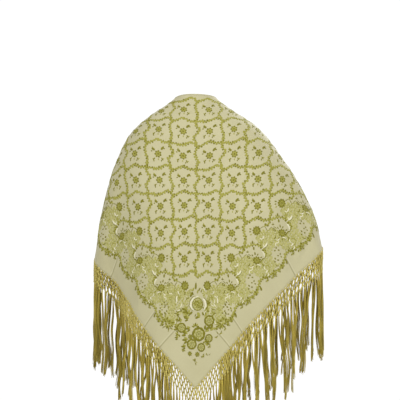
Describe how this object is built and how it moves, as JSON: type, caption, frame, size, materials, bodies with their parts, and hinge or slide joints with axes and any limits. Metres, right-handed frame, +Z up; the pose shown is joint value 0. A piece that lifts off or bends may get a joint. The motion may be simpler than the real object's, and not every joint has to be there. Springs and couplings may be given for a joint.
{
  "type": "triangular fringed shawl, worn",
  "caption": "Embroidered triangular shawl, hanging as worn over neck, shoulders and arms, with a knotted net and loose strands along its short sides.",
  "frame": {"origin": "middle of the neck opening, level with the top edge at the sides of the neck, where the shoulders hold the shawl", "axes": "+Z up, +X towards the wearer's right, +Y the way the wearer faces; the point hangs at the back, on -Y"},
  "size_m": [0.6335, 0.3967, 1.0969],
  "materials": {
    "cloth": "soft crepe",
    "thread": "silky twisted yarn"
  },
  "bodies": {
    "root": {"cloth": "cloth", "net_left": "thread", "net_right": "thread", "fringe_left": "thread", "fringe_right": "thread"}
  },
  "joints": []
}
